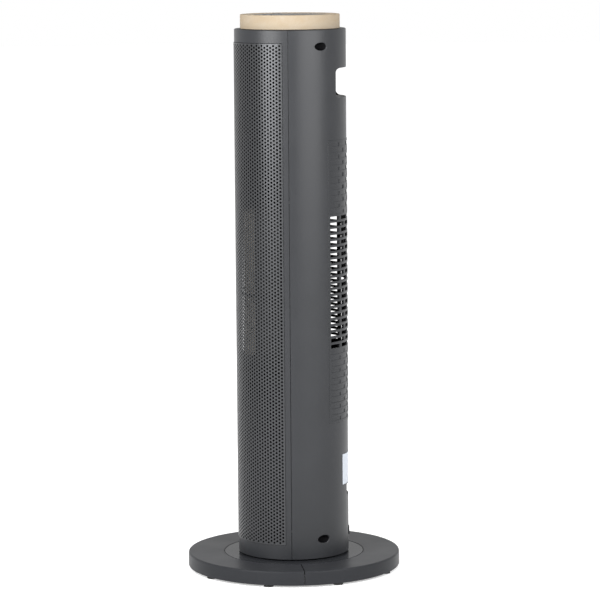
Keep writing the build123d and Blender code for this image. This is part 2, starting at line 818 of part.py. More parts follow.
with BuildPart() as grip_cup:
    outside = cup_half_width + cup_wall
    slab((-outside, outside), (cup_floor - cup_wall, tower_radius), (cup_low, cup_high))
    rod(shell_inner - fit_gap, cup_low, cup_high, mode=Mode.INTERSECT)
    inside = (cup_low + cup_wall, cup_high - cup_wall)
    slab((-cup_half_width, cup_half_width), (cup_floor, tower_radius), inside, Mode.SUBTRACT)
    add(grip_notch(), mode=Mode.SUBTRACT)
save(grip_cup, "grip_cup")

with BuildPart() as blank_label:
    edge = label_depth / 5
    with BuildSketch(Plane.XY.offset(label_z + edge)):
        label_angle = label_half_angle - degrees(edge / tower_radius)
        add(ring_part(tower_radius - label_depth + edge, tower_radius - edge, 90, label_angle))
    extrude(amount=label_height - 2 * edge)
save(blank_label, "blank_label")

with BuildPart() as cord_bush:
    flange_back = tower_radius + seat_gap
    pegs(Plane.XZ.offset(-flange_back), [(0, inlet_z)], inlet_flange, -inlet_proud, small_sides)
    half = inlet_body / 2
    slab((-half, half), (tower_radius - inlet_depth, flange_back), (inlet_z - half, inlet_z + half))
    outer_face = Plane.XZ.offset(-shell_outside)
    pegs(outer_face, [(0, inlet_z)], inlet_bore, shell_outside / 2, small_sides, Mode.SUBTRACT)
save(cord_bush, "cord_bush")

# Main switch: bezel in the well and the rocker on its upright pin
rocker_axis = switch_seat - rocker_sink
bezel_face = switch_seat + seat_gap + bezel_flange
bezel_back = bezel_face - bezel_depth
pin_reach = rocker_height / 2 + rocker_pin_end
pin_low, pin_high = switch_middle - pin_reach, switch_middle + pin_reach
rocker_place = (0, rocker_axis)


def box_round(half_width, along, half_height, mode=Mode.ADD):
    """Box centred across on the switch and level with its middle."""
    upwards = (switch_middle - half_height, switch_middle + half_height)
    slab((-half_width, half_width), along, upwards, mode)


with BuildPart() as switch_bezel:
    box_round(bezel_width / 2, (switch_seat + seat_gap, bezel_face), bezel_height / 2)
    box_round(bezel_body_width / 2, (bezel_back, switch_seat + seat_gap), bezel_body_height / 2)
    opening = (rocker_axis - 2 * rocker_rise, bezel_face)
    box_round(rocker_width / 2 + 2 * fit_gap, opening, rocker_height / 2 + fit_gap, Mode.SUBTRACT)
    bore = rocker_pin + running_gap
    rod(bore, pin_low - seat_gap, pin_high + seat_gap, rocker_place, mode=Mode.SUBTRACT)
    for x in (-bezel_body_width / 4, bezel_body_width / 4):
        upwards = (switch_middle - blade_sheet / 2, switch_middle + blade_sheet / 2)
        slab((x - blade_width / 2, x + blade_width / 2), (bezel_back - blade_reach, bezel_back), upwards)
save(switch_bezel, "switch_bezel")

with BuildPart() as switch_rocker:
    with BuildSketch(Plane.XY.offset(switch_middle - rocker_height / 2)):
        with Locations(Location((*rocker_place, 0), -rocker_throw)):
            Polygon(
                (-rocker_width / 2, rocker_rise),
                (0, rocker_rise - rocker_hollow),
                (rocker_width / 2, rocker_rise),
                (rocker_width / 2, -rocker_rise / 2),
                (0, -rocker_depth),
                (-rocker_width / 2, -rocker_rise / 2),
                align=None,
            )
    extrude(amount=rocker_height)
    rod(rocker_pin, pin_low, pin_high, rocker_place)
save(switch_rocker, "switch_rocker")

# Wooden ring on top and what stands inside it
wood_low = tower_top + seat_gap
wood_high = wood_low + wood_height
panel_high = wood_high - panel_drop
panel_low = panel_high - panel_thickness
panel_radius = wood_bore - fit_gap
tray_high = flange_bottom - seat_gap
tray_low = tray_high - tray_thickness
wood_screw_seat = Plane.XY.offset(tray_low - seat_gap)
wood_screw_depth = wood_height / 2
wood_screw_length = wood_low + wood_screw_depth - tray_low
key_angles = [-90 + (i - 2) * key_step for i in range(5)]
key_names = ["timer_key", "minus_key", "power_key", "plus_key", "mode_key"]
key_locations = [Location((*around(key_circle, angle), 0), angle + 90) for angle in key_angles]
key_stop = panel_low - seat_gap
key_skirt = key_stop - key_flange
plunger_top = key_skirt - key_travel - key_flange
board_top = plunger_top - plunger_height - key_switch_height
board_low = board_top - board_thickness
window_place = (0, window_reach)

with BuildPart() as wood_cap:
    with BuildSketch(Plane.XZ):
        with Locations(((wood_bore + wood_radius) / 2, wood_low + wood_height / 2)):
            Rectangle(wood_radius - wood_bore, wood_height)
        chamfer(vertices().group_by(Axis.X)[-1].sort_by(Axis.Y)[-1], wood_edge)
    revolve(axis=Axis.Z)
    bore = wood_screw_radius + seat_gap / 2
    depth = wood_screw_depth + seat_gap
    pegs(Plane.XY.offset(wood_low), wood_screw_places, bore, depth, mode=Mode.SUBTRACT)
save(wood_cap, "wood_cap")

cap_screws = screw_set(wood_screw_seat, wood_screw_places, wood_screw_radius, wood_screw_length)
save(cap_screws, "cap_screws")

with BuildPart() as control_tray:
    pegs(Plane.XY.offset(tray_low), [(0, 0)], tray_radius, tray_thickness, small_sides)
    bore = wood_screw_radius + fit_gap
    pegs(Plane.XY.offset(tray_low), wood_screw_places, bore, tray_thickness, mode=Mode.SUBTRACT)
    with BuildSketch(Plane.XY.offset(tray_high)):
        with Locations((-panel_post_side, 0), (panel_post_side, 0)):
            Rectangle(post_width, post_width)
        with Locations((0, -panel_post_front), (0, panel_post_front)):
            Rectangle(post_width, post_width)
    extrude(amount=panel_low - seat_gap - tray_high)
    with BuildSketch(Plane.XY.offset(tray_high)):
        with GridLocations(board_width - 2 * board_post_inset, board_depth - 2 * board_post_inset, 2, 2):
            Rectangle(post_width, post_width)
    extrude(amount=board_low - seat_gap - tray_high)
save(control_tray, "control_tray")

with BuildPart() as control_board:
    half_width, half_depth = board_width / 2, board_depth / 2
    along = (-half_depth - board_shift, half_depth - board_shift)
    slab((-half_width, half_width), along, (board_low, board_top))
    for size, low, height in (
        (key_switch_width, board_top, key_switch_height),
        (key_stem, board_top + key_switch_height, plunger_height),
    ):
        with BuildSketch(Plane.XY.offset(low)):
            with Locations(*key_locations):
                Rectangle(size, size)
        extrude(amount=height)
save(control_board, "control_board")

with BuildPart() as display_module:
    half_width, half_depth = window_width / 2 - window_border, window_depth / 2 - window_border
    along = (window_reach - half_depth, window_reach + half_depth)
    low = board_top + seat_gap
    slab((-half_width, half_width), along, (low, low + display_height))
save(display_module, "display_module")


def key_outline(gap):
    """Corners of a key's cut-cornered rectangle, grown by a gap on every side."""
    x, y = key_width / 2 + gap, key_depth / 2 + gap
    cut = key_corner
    right = [(x, cut - y), (x, y - cut), (x - cut, y), (cut - x, y)]
    return right + [(-a, -b) for a, b in right]


with BuildPart() as control_panel:
    rod(panel_radius, panel_low, panel_high)
    with BuildSketch(Plane.XY.offset(panel_low)):
        with Locations(*key_locations):
            Polygon(*key_outline(key_gap), align=None)
        with Locations(window_place):
            Rectangle(window_width, window_depth)
    extrude(amount=panel_thickness, mode=Mode.SUBTRACT)
save(control_panel, "control_panel")

with BuildPart() as display_window:
    for grow, low, height in (
        (2 * window_border, panel_low - seat_gap, -window_border / 2),
        (-2 * seat_gap, panel_low - seat_gap, panel_thickness + seat_gap),
    ):
        with BuildSketch(Plane.XY.offset(low)):
            with Locations(window_place):
                Rectangle(window_width + grow, window_depth + grow)
        extrude(amount=height)
save(display_window, "display_window")

for location, name in zip(key_locations, key_names):
    with BuildPart() as key:
        with BuildSketch(Plane.XY.offset(key_skirt)):
            with Locations(location):
                Polygon(*key_outline(0), align=None)
        extrude(amount=panel_high + key_proud - key_skirt)
        with BuildSketch(Plane.XY.offset(key_skirt)):
            with Locations(location):
                Polygon(*key_outline(key_flange), align=None)
        extrude(amount=key_flange)
        with BuildSketch(Plane.XY.offset(key_skirt)):
            with Locations(location):
                Rectangle(key_stem, key_stem)
        extrude(amount=plunger_top + key_travel + seat_gap - key_skirt)
    save(key, name)

# Cross-flow blower: two decks, guide walls, impeller and motor
rotor_place = (0, rotor_offset)
rotor_z = tower_bottom + rotor_low
rotor_top = rotor_z + rotor_length
motor_high = deck_low - seat_gap
motor_low = motor_high - motor_length
motor_ears = [(side * motor_ear, rotor_offset) for side in (-1, 1)]
motor_screw_seat = Plane.XY.offset(motor_high - motor_ear_thickness - seat_gap)
motor_screw_length = motor_ear_thickness + 2 * seat_gap + motor_screw_bite
shaft_low = motor_low + coil_lap

with BuildPart() as blower_floor:
    pegs(Plane.XY.offset(deck_low), [(0, 0)], deck_radius, deck_thickness, small_sides)
    deck_face = Plane.XY.offset(deck_low)
    hole = 2 * rotor_shaft
    pegs(deck_face, [rotor_place], hole, deck_thickness, small_sides, Mode.SUBTRACT)
    depth = motor_screw_bite + 2 * seat_gap
    pegs(deck_face, motor_ears, motor_screw + seat_gap / 2, depth, mode=Mode.SUBTRACT)
save(blower_floor, "blower_floor")

with BuildPart() as blower_roof:
    pegs(Plane.XY.offset(roof_low), [(0, 0)], deck_radius, deck_thickness, small_sides)
    half = bush_half + seat_gap / 2
    along = (rotor_offset - half, rotor_offset + half)
    slab((-half, half), along, (roof_low, roof_high), Mode.SUBTRACT)
save(blower_roof, "blower_roof")

with BuildPart() as impeller_bearing:
    for half, low, high in (
        (bush_half, roof_low, roof_high + seat_gap),
        (bush_half + bush_flange, roof_high + seat_gap, roof_high + bush_lift),
    ):
        slab((-half, half), (rotor_offset - half, rotor_offset + half), (low, high))
    bore = rotor_shaft + running_gap
    rod(bore, roof_low, roof_high + bush_lift, rotor_place, mode=Mode.SUBTRACT)
save(impeller_bearing, "impeller_bearing")

with BuildPart() as fan_motor:
    core_z = (motor_low + core_low, motor_low + core_high)
    core_y = (rotor_offset - core_half_depth, rotor_offset + core_half_depth)
    slab((-core_half_width, core_half_width), core_y, core_z)
    coil_y = (core_y[1] - coil_depth, core_y[1] + coil_depth)
    coil_z = (core_z[0] - coil_lap, core_z[1] + coil_lap)
    slab((-coil_half_width, coil_half_width), coil_y, coil_z)
    hub_y = (rotor_offset - motor_hub, rotor_offset + motor_hub)
    slab((-motor_hub, motor_hub), hub_y, (shaft_low - coil_lap, motor_high))
    ear_y = (rotor_offset - motor_ear_width / 2, rotor_offset + motor_ear_width / 2)
    ear_x = motor_ear + motor_ear_width / 2
    ear_low = motor_high - motor_ear_thickness
    slab((-ear_x, ear_x), ear_y, (ear_low, motor_high))
    bore = motor_screw + fit_gap
    pegs(Plane.XY.offset(ear_low), motor_ears, bore, motor_ear_thickness, mode=Mode.SUBTRACT)
    rod(rotor_shaft + running_gap, shaft_low - seat_gap, motor_high, rotor_place, mode=Mode.SUBTRACT)
save(fan_motor, "fan_motor")

motor_screws = screw_set(motor_screw_seat, motor_ears, motor_screw, motor_screw_length)
save(motor_screws, "motor_screws")

with BuildPart() as impeller_shaft:
    rod(rotor_shaft, shaft_low, rotor_z + rotor_hub - seat_gap, rotor_place)
save(impeller_shaft, "impeller_shaft")


def blade_points(middle):
    """Section of one blade of the impeller, which leans forwards towards its outer edge."""
    rim = rotor_radius - rotor_disc / 4
    turn = degrees(blade_thickness / rotor_radius)
    root, tip = rim - blade_length, rim
    return [
        around(root, middle),
        around(tip, middle + blade_lean),
        around(tip, middle + blade_lean + turn),
        around(root, middle + turn),
    ]


with BuildPart() as impeller:
    blade_low, blade_high = rotor_z + rotor_disc, rotor_top - rotor_disc
    pegs(Plane.XY.offset(rotor_z), [rotor_place], rotor_radius, rotor_disc, round_sides)
    pegs(Plane.XY.offset(blade_high), [rotor_place], rotor_radius, rotor_disc, round_sides)
    with BuildSketch(Plane.XY.offset(blade_low)):
        with Locations(rotor_place):
            for i in range(blade_count):
                Polygon(*blade_points(i * 360 / blade_count), align=None)
    extrude(amount=blade_high - blade_low)
    hub = rotor_shaft + bearing_wall
    pegs(Plane.XY.offset(rotor_z), [rotor_place], hub, rotor_hub, small_sides)
    rod(rotor_shaft + press_gap, rotor_z, rotor_z + rotor_hub, rotor_place, mode=Mode.SUBTRACT)
    rod(rotor_shaft, rotor_top, roof_high + bush_lift, rotor_place)
save(impeller, "impeller")

chamber_low = deck_high + seat_gap
chamber_high = roof_low - seat_gap
heater_back = heater_front - heater_depth
heater_half = heater_width / 2
duct_end = -heater_back + seat_gap


def round_rotor(radius, angle):
    """Point at an angle round the impeller's axis."""
    x, y = around(radius, angle)
    return (x, y + rotor_offset)


def scroll_point(share, extra):
    """Point of the guide wall's spiral, by its share of the way from inlet to outlet."""
    angle = scroll_start + share * (scroll_end - scroll_start)
    return round_rotor(rotor_radius + scroll_near + share * (scroll_far - scroll_near) + extra, angle)


with BuildPart() as blower_scroll:
    with BuildSketch(Plane.XY.offset(chamber_low)):
        with BuildLine():
            inside = ThreePointArc(*[scroll_point(share, 0) for share in (0, 0.5, 1)])
            outside = ThreePointArc(*[scroll_point(share, scroll_wall) for share in (0, 0.5, 1)])
            Line(inside @ 0, outside @ 0)
            left = Line(inside @ 1, (-heater_half, duct_end))
            Polyline(left @ 1, (-heater_half - scroll_wall, duct_end), outside @ 1)
        make_face()
        with BuildLine():
            turns = (tongue_sweep, tongue_sweep / 2, 0)
            tongue = rotor_radius + tongue_gap
            near = ThreePointArc(*[round_rotor(tongue, tongue_angle + turn) for turn in turns])
            tongue += scroll_wall
            far = ThreePointArc(*[round_rotor(tongue, tongue_angle + turn) for turn in turns])
            Line(near @ 0, far @ 0)
            Line(near @ 1, (heater_half, duct_end))
            Polyline((heater_half, duct_end), (heater_half + scroll_wall, duct_end), far @ 1)
        make_face()
    extrude(amount=chamber_high - chamber_low)
    tie = (-heater_half - scroll_wall, heater_half + scroll_wall)
    for low in (chamber_low, chamber_high - scroll_wall):
        slab(tie, (duct_end, duct_end + duct_tie), (low, low + scroll_wall))
save(blower_scroll, "blower_scroll")

# Heater: frame, ceramic bars and folded fins between them
frame_inside = heater_half - heater_wall
bar_low = chamber_low + heater_wall + seat_gap
bar_high = chamber_high - heater_wall - seat_gap
bar_pitch = (2 * frame_inside - 2 * seat_gap - bar_width) / (bar_count - 1)
bar_middles = [-frame_inside + seat_gap + bar_width / 2 + i * bar_pitch for i in range(bar_count)]
fin_count = floor((bar_high - bar_low - fin_thickness - 2 * seat_gap) / fin_pitch)
heater_middle = (-(heater_front + heater_back) / 2, (chamber_low + chamber_high) / 2)

with BuildPart() as heater_frame:
    slab((-heater_half, heater_half), (-heater_front, -heater_back), (chamber_low, chamber_high))
    inside = (chamber_low + heater_wall, chamber_high - heater_wall)
    slab((-frame_inside, frame_inside), (-heater_front, -heater_back), inside, Mode.SUBTRACT)
save(heater_frame, "heater_frame")

with BuildPart() as heater_bars:
    deep = (-heater_front + seat_gap, -heater_back - seat_gap)
    for x in bar_middles:
        slab((x - bar_width / 2, x + bar_width / 2), deep, (bar_low, bar_high))
save(heater_bars, "heater_bars")


def fin_outline(left, right):
    """Outline of one ribbon of fins, folded to and fro between two bars."""
    levels = [bar_low + seat_gap + i * fin_pitch for i in range(fin_count)]
    going_up = [(right, levels[0])]
    other_side = [(left, levels[0])]
    for i, (low, high) in enumerate(zip(levels, levels[1:])):
        if i % 2:
            edge, inner, side = right, left + fin_thickness, going_up
        else:
            edge, inner, side = left, right - fin_thickness, other_side
        over = low + fin_thickness
        side.extend([(edge, over), (inner, over), (inner, high), (edge, high)])
    top = levels[-1] + fin_thickness
    return going_up + [(right, top), (left, top)] + other_side[::-1]


with BuildPart() as heater_fins:
    with BuildSketch(Plane.XZ.offset(heater_back + fin_inset)):
        for x in bar_middles[:-1]:
            left = x + (bar_width + seat_gap) / 2
            right = x + bar_pitch - (bar_width + seat_gap) / 2
            Polygon(*fin_outline(left, right), align=None)
    extrude(amount=heater_depth - 2 * fin_inset)
save(heater_fins, "heater_fins")

with BuildPart() as thermal_cutout:
    frame_side = Plane.YZ.offset(heater_half + seat_gap)
    pegs(frame_side, [heater_middle], cutout_radius, cutout_height, small_sides)
save(thermal_cutout, "thermal_cutout")

# Carrier with the power board, the terminals and the tilt switch
carrier_low = floor_top + seat_gap
carrier_high = carrier_low + carrier_height
carrier_half = carrier_width / 2
carrier_back = carrier_place + carrier_wall
power_back = carrier_place - power_post_height - seat_gap
power_front = power_back - board_thickness
power_low = gear_high + power_lift
power_high = carrier_high - carrier_wall
power_half = carrier_half - seat_gap
post_levels = (power_low + carrier_post_inset, power_high - carrier_post_inset)

with BuildPart() as board_carrier:
    slab((-carrier_half, carrier_half), (carrier_place, carrier_back), (carrier_low, carrier_high))
    foot = carrier_half - carrier_foot_inset
    slab((-foot, foot), (carrier_back, carrier_back + carrier_foot), (carrier_low, carrier_low + carrier_wall))
    for side in (-1, 1):
        x = side * (carrier_half - carrier_post_inset)
        for z in post_levels:
            across = (x - post_width / 2, x + post_width / 2)
            upwards = (z - post_width / 2, z + post_width / 2)
            slab(across, (carrier_place - power_post_height, carrier_place), upwards)
save(board_carrier, "board_carrier")

with BuildPart() as power_board:
    slab((-power_half, power_half), (power_front, power_back), (power_low, power_high))
    for x, z, width, height, deep in power_parts:
        low = power_low + z - height / 2
        slab((x - width / 2, x + width / 2), (power_front - deep, power_front), (low, low + height))
save(power_board, "power_board")

with BuildPart() as terminal_block:
    low = carrier_low + terminal_height
    middle = low + terminal_height / 2
    back = carrier_back + terminal_depth
    slab(terminal_side, (carrier_back + seat_gap, back), (low, low + terminal_height))
    step = (terminal_side[1] - terminal_side[0]) / terminal_count
    half = terminal_hole / 2
    for i in range(terminal_count):
        x = terminal_side[0] + (i + 0.5) * step
        along = (back - terminal_hole, back)
        slab((x - half, x + half), along, (middle - half, middle + half), Mode.SUBTRACT)
save(terminal_block, "terminal_block")

with BuildPart() as tilt_switch:
    along = (carrier_place - tilt_depth, carrier_place - seat_gap)
    slab(tilt_side, along, (gear_high, gear_high + tilt_height))
save(tilt_switch, "tilt_switch")
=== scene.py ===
import json
import math

import bmesh
import bpy
import numpy as np
from mathutils import Matrix, Vector


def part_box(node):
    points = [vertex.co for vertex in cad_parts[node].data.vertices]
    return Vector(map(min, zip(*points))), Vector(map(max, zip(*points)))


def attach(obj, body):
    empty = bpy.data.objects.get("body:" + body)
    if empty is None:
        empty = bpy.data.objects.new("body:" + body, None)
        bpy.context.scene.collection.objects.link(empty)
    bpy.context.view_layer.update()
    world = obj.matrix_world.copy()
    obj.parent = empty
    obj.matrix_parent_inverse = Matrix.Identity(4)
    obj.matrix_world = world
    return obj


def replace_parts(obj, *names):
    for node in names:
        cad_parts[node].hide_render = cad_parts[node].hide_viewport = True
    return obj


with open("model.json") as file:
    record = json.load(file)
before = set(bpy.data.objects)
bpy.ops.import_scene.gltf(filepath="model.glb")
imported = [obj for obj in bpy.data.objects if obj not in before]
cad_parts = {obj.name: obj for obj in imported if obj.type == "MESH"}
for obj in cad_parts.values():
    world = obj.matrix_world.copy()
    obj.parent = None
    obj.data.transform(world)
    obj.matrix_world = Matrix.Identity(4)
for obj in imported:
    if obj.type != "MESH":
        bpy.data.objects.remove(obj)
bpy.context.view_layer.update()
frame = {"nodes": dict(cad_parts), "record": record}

# Tower fan heater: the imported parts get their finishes, and what needs finer shapes is made here.
# Lengths are metres unless they carry mm. Angles are degrees, counted round the tower from +X towards +Y.

mm = 0.001
front, back = -90, 90  # directions of the grille and of the slotted field
footTurn = 6.3  # the foot stands turned from the tower by this much
slotOf = {part["node"]: part["material_slot"] for part in frame["record"]["subparts"]}
bodyOf = {node: body for body, nodes in frame["record"]["behaviour"]["bodies"].items() for node in nodes}

ringInset = 6.8 * mm  # from the outside of the tower to that of the wooden ring
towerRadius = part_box("wood_cap")[1].x + ringInset


# Materials

def setInput(tree, socket, value):
    # an output is linked to the socket, and a plain value is written on it
    if isinstance(value, bpy.types.NodeSocket):
        tree.links.new(value, socket)
    else:
        socket.default_value = value


def addNode(tree, kind, *inputs, **values):
    # a node with its properties and inputs set by name, and then with its first inputs set in their order
    node = tree.nodes.new(kind)
    for name, value in values.items():
        if hasattr(node, name):
            setattr(node, name, value)
        else:
            setInput(tree, node.inputs[name.replace("_", " ")], value)
    for socket, value in zip(node.inputs, inputs):
        setInput(tree, socket, value)
    return node


def calculate(tree, operation, *inputs):
    # one value worked out from others
    return addNode(tree, "ShaderNodeMath", *inputs, operation=operation).outputs["Value"]


def vectorNode(tree, operation, *inputs):
    # a node that works on points, whose result is a point or a value
    return addNode(tree, "ShaderNodeVectorMath", *inputs, operation=operation)


def objectPoint(tree, stretch=(1, 1, 1)):
    # object coordinates, stretched by a Mapping node
    place = addNode(tree, "ShaderNodeTexCoord").outputs["Object"]
    return addNode(tree, "ShaderNodeMapping", Vector=place, Scale=stretch).outputs["Vector"]


def grain(tree, point, size, detail, distortion=0.0):
    # noise whose lumps are about one size across
    return addNode(tree, "ShaderNodeTexNoise", Vector=point, Scale=1 / size, Detail=detail,
                   Distortion=distortion).outputs["Fac"]


def spread(tree, value, low, high, fromLow=0.3, fromHigh=0.7):
    # carries a value onto the range low to high; noise lies mostly between 0.3 and 0.7
    return addNode(tree, "ShaderNodeMapRange", Value=value, From_Min=fromLow, From_Max=fromHigh,
                   To_Min=low, To_Max=high).outputs["Result"]


def ramp(tree, value, start, end):
    # 0 up to start, 1 from end on, and straight between them
    return spread(tree, value, 0, 1, start, end)


def blendColours(tree, factor, first, second, blend="MIX"):
    # from the first colour at factor 0 to the second at 1; a colour is three numbers or an output
    first, second = [(*colour, 1) if isinstance(colour, tuple) else colour for colour in (first, second)]
    return addNode(tree, "ShaderNodeMix", data_type="RGBA", blend_type=blend, Factor=factor,
                   A=first, B=second).outputs["Result"]


def dents(tree, height, depth):
    # bump of a depth in metres
    return addNode(tree, "ShaderNodeBump", Height=height, Distance=depth).outputs["Normal"]


def dress(tree, **sockets):
    # sets the shader's sockets by name, each to a number, a colour of three numbers or an output
    shader = tree.nodes["Principled BSDF"]
    for name, value in sockets.items():
        value = (*value, 1) if isinstance(value, tuple) else value
        setInput(tree, shader.inputs[name.replace("_", " ")], value)


def startMaterial(name, **sockets):
    # a material with its node tree, and the shader's constant values
    material = bpy.data.materials.new(name)
    material.use_nodes = True
    dress(material.node_tree, **sockets)
    return material, material.node_tree


def paintedShadeInSeam(tree, look):
    # Painted shade on the thin line where the halves of the foot meet: dark and dull in the seam. Across the
    # seam, whose direction is t, the distance is |y cos t - x sin t|, and a ramp of it is how far the
    # painted shade stays off.
    turn = math.radians(footTurn)
    across = vectorNode(tree, "DOT_PRODUCT", objectPoint(tree), (-math.sin(turn), math.cos(turn), 0))
    unshaded = ramp(tree, calculate(tree, "ABSOLUTE", across.outputs["Value"]), *look["seam"])
    return unshaded, spread(tree, unshaded, 0, look["specular"], 0, 1)


def paintedShadeInside(tree, look):
    # Painted shade: the mask is 1 on the outer skin, where sqrt(x^2 + y^2) is large, and on the top edge,
    # and 0 in recesses, inside and behind the grille, where the angle from the front and the height lie
    # within the sheet's.
    point = objectPoint(tree)
    flat = vectorNode(tree, "MULTIPLY", point, (1, 1, 0)).outputs["Vector"]
    radius = vectorNode(tree, "LENGTH", flat).outputs["Value"]
    x, y, z = addNode(tree, "ShaderNodeSeparateXYZ", point).outputs
    outside = calculate(tree, "MAXIMUM", ramp(tree, radius, *look["skin"]), ramp(tree, z, *look["top"]))
    low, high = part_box("front_grille")
    half = (high.z - low.z) / 2
    covered = math.radians(look["covered"])
    forward = calculate(tree, "MULTIPLY", y, -1)
    fromFront = calculate(tree, "ABSOLUTE", calculate(tree, "ARCTAN2", x, forward))
    fromMiddle = calculate(tree, "ABSOLUTE", calculate(tree, "SUBTRACT", z, (low.z + high.z) / 2))
    beside = ramp(tree, fromFront, covered - look["sideFade"] / towerRadius, covered)
    beyond = ramp(tree, fromMiddle, half - look["endFade"], half)
    unshaded = calculate(tree, "MINIMUM", outside, calculate(tree, "MAXIMUM", beside, beyond))
    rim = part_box("front_shell")[1].z
    topFace = ramp(tree, z, rim - look["topFade"][0], rim - look["topFade"][1])
    shiny = calculate(tree, "SUBTRACT", unshaded, topFace)  # the top face shines less
    return unshaded, spread(tree, shiny, look["dull"], look["specular"], 0, 1)


def mouldedPlastic(name, look):
    # moulded plastic: spark-eroded grain in the bump, cloudy sheen, and a slight drift of its colour
    material, tree = startMaterial(name, IOR=1.45)
    point = objectPoint(tree)
    cloud = grain(tree, point, look["cloud"], detail=3)
    fine = grain(tree, point, look["grain"], detail=1)
    colour = blendColours(tree, spread(tree, cloud, 0, 1), look["dark"], look["light"])
    sheen = look["specular"]
    # painted shade: where the look has a shade, its mask darkens the colour towards the shadow colour and
    # dulls the sheen
    if "shade" in look:
        unshaded, sheen = look["shade"](tree, look)
        colour = blendColours(tree, unshaded, look["shadow"], colour)
    dress(tree, Base_Color=colour, Roughness=spread(tree, cloud, *look["roughness"]),
          Specular_IOR_Level=sheen, Normal=dents(tree, fine, look["depth"]))
    return material


finishes = {
    # dark and light: the colour's drift; cloud and grain: sizes of the patches and of the surface's lumps;
    # shade: gives the mask of the painted shade and the sheen there; shadow: the colour of the painted shade
    # housing: painted shade in its recesses, inside it and behind the grille
    "housing": dict(dark=(0.0155, 0.0165, 0.0188), light=(0.0175, 0.0186, 0.0212), specular=0.40,
                    roughness=(0.36, 0.42), cloud=50 * mm, grain=0.7 * mm, depth=0.012 * mm,
                    shade=paintedShadeInside, shadow=(0.004, 0.004, 0.0045), dull=0.02,
                    skin=(61.6 * mm, 62.1 * mm), top=(604.0 * mm, 604.6 * mm), topFade=(0.4 * mm, 0.1 * mm),
                    covered=82.4, sideFade=0.25 * mm, endFade=0.3 * mm),
    # foot: painted shade in the seam between its halves
    "foot": dict(dark=(0.0225, 0.0235, 0.026), light=(0.026, 0.027, 0.030), specular=0.09,
                 roughness=(0.36, 0.42), cloud=50 * mm, grain=0.9 * mm, depth=0.01 * mm,
                 shade=paintedShadeInSeam, shadow=(0.002, 0.002, 0.002), seam=(0.3 * mm, 0.6 * mm)),
    "plate": dict(dark=(0.018, 0.019, 0.021), light=(0.02, 0.021, 0.024), specular=0.04,
                  roughness=(0.16, 0.2), cloud=40 * mm, grain=4 * mm, depth=0.004 * mm),
    "rubber": dict(dark=(0.018, 0.018, 0.018), light=(0.03, 0.03, 0.03), specular=0.3,
                   roughness=(0.7, 0.85), cloud=4 * mm, grain=0.6 * mm, depth=0.03 * mm),
    "keys": dict(dark=(0.11, 0.115, 0.125), light=(0.125, 0.13, 0.14), specular=0.06,
                 roughness=(0.4, 0.48), cloud=6 * mm, grain=0.5 * mm, depth=0.01 * mm),
    "panel": dict(dark=(0.010, 0.010, 0.012), light=(0.012, 0.012, 0.014), specular=0.05,
                  roughness=(0.3, 0.36), cloud=30 * mm, grain=3 * mm, depth=0.002 * mm),
    "inner": dict(dark=(0.012, 0.012, 0.012), light=(0.018, 0.018, 0.018), specular=0.2,
                  roughness=(0.5, 0.62), cloud=30 * mm, grain=0.9 * mm, depth=0.02 * mm),
    "nylon": dict(dark=(0.56, 0.54, 0.48), light=(0.66, 0.64, 0.59), specular=0.45,
                  roughness=(0.4, 0.5), cloud=10 * mm, grain=1 * mm, depth=0.01 * mm),
    "ceramic": dict(dark=(0.22, 0.20, 0.17), light=(0.28, 0.26, 0.23), specular=0.3,
                    roughness=(0.7, 0.85), cloud=6 * mm, grain=0.8 * mm, depth=0.04 * mm),
    "switch": dict(dark=(0.016, 0.016, 0.018), light=(0.022, 0.022, 0.024), specular=0.5,
                   roughness=(0.2, 0.28), cloud=10 * mm, grain=0.6 * mm, depth=0.006 * mm),
    "label": dict(dark=(0.46, 0.50, 0.56), light=(0.50, 0.53, 0.58), specular=0.4,
                  roughness=(0.3, 0.38), cloud=20 * mm, grain=0.8 * mm, depth=0.01 * mm),
}
materials = {name: mouldedPlastic(name, look) for name, look in finishes.items()}

metals = {
    # stretch: small along the lines of the rolling or drawing
    "steel": dict(colour=(0.4, 0.4, 0.41), roughness=(0.28, 0.42), stretch=(1, 1, 0.05), lines=0.4 * mm,
                  depth=0.004 * mm),
    "fins": dict(colour=(0.3, 0.3, 0.31), roughness=(0.3, 0.45), stretch=(1, 0.05, 1), lines=0.4 * mm,
                 depth=0.004 * mm),
}


def drawnMetal(name, look):
    # rolled or drawn metal: fine lines along one direction in the sheen and the bump
    material, tree = startMaterial(name, Base_Color=look["colour"], Metallic=1.0)
    lines = grain(tree, objectPoint(tree, look["stretch"]), look["lines"], detail=3)
    dress(tree, Roughness=spread(tree, lines, *look["roughness"]), Normal=dents(tree, lines, look["depth"]))
    return material


for name, look in metals.items():
    materials[name] = drawnMetal(name, look)

sheetLook = dict(metal=0.6, specular=0.2, dark=(0.036, 0.0368, 0.0386), light=(0.067, 0.0686, 0.072),
                 flake=0.35 * mm, peel=1.2 * mm, roughness=(0.27, 0.34), depth=0.01 * mm)


def coatedSheet(name, look):
    # powder-coated steel sheet, dark silver: metal flakes in a fine orange-peel skin
    material, tree = startMaterial(name, Metallic=look["metal"], Specular_IOR_Level=look["specular"])
    point = objectPoint(tree)
    flakes = grain(tree, point, look["flake"], detail=0)
    peel = grain(tree, point, look["peel"], detail=2)
    dress(tree, Base_Color=blendColours(tree, spread(tree, flakes, 0, 1), look["dark"], look["light"]),
          Roughness=spread(tree, peel, *look["roughness"]), Normal=dents(tree, peel, look["depth"]))
    return material


materials["grille"] = coatedSheet("grille", sheetLook)

woodLook = dict(pale=(0.345, 0.297, 0.236), warm=(0.322, 0.263, 0.19), specular=0.03, roughness=(0.55, 0.7),
                band=20 * mm, bandStretch=(0.25, 1, 1.6), waver=0.6,
                fibre=1.1 * mm, fibreStretch=(0.05, 1, 1), fibreShade=0.35, fibreTint=(0.86, 0.76, 0.6),
                depth=0.03 * mm)


